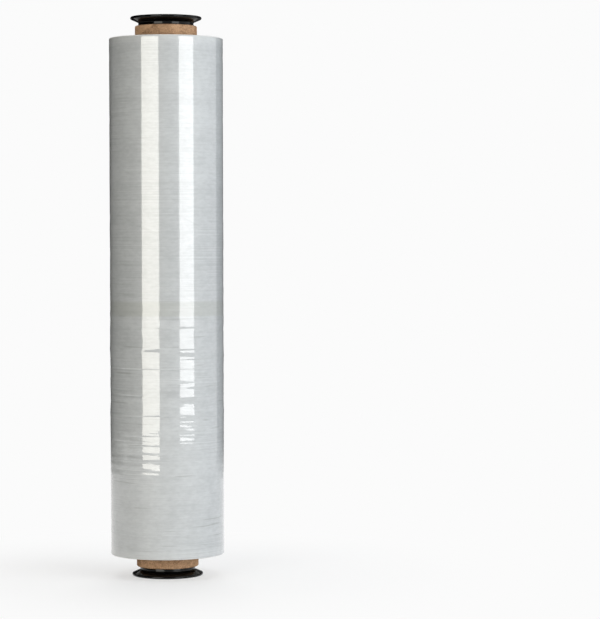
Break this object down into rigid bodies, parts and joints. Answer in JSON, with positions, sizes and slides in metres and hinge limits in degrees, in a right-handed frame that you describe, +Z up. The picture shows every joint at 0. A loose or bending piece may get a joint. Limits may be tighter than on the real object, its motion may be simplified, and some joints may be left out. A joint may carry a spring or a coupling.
{
  "type": "stretch wrap roll",
  "caption": "Roll of clear stretch film wound on a cardboard tube, with a flanged plastic hand grip that turns in each end so the film can be pulled off by hand.",
  "frame": {"origin": "centre of the lower grip's flange face, on the surface the roll stands on", "axes": "+Z up along the roll's axis; the film's cut edge is at the back, 138 degrees round from +X towards +Y"},
  "size_m": [0.11, 0.11, 0.542],
  "materials": {
    "clear_film": "glossy wound film, milky through its depth, with fine lines round the roll",
    "cardboard": "matt kraft board, spiral wound, mottled",
    "black_plastic": "glossy moulded black plastic"
  },
  "bodies": {
    "roll": {"film_roll": "clear_film", "core": "cardboard"},
    "top_grip": {"top_grip": "black_plastic"},
    "bottom_grip": {"bottom_grip": "black_plastic"}
  },
  "joints": [
    {"name": "top_grip_spin", "type": "hinge", "parent": "roll", "child": "top_grip", "pos_m": [0, 0, 0.515], "axis": [0, 0, 1], "continuous": true},
    {"name": "bottom_grip_spin", "type": "hinge", "parent": "roll", "child": "bottom_grip", "pos_m": [0, 0, 0.027], "axis": [0, 0, 1], "continuous": true}
  ]
}
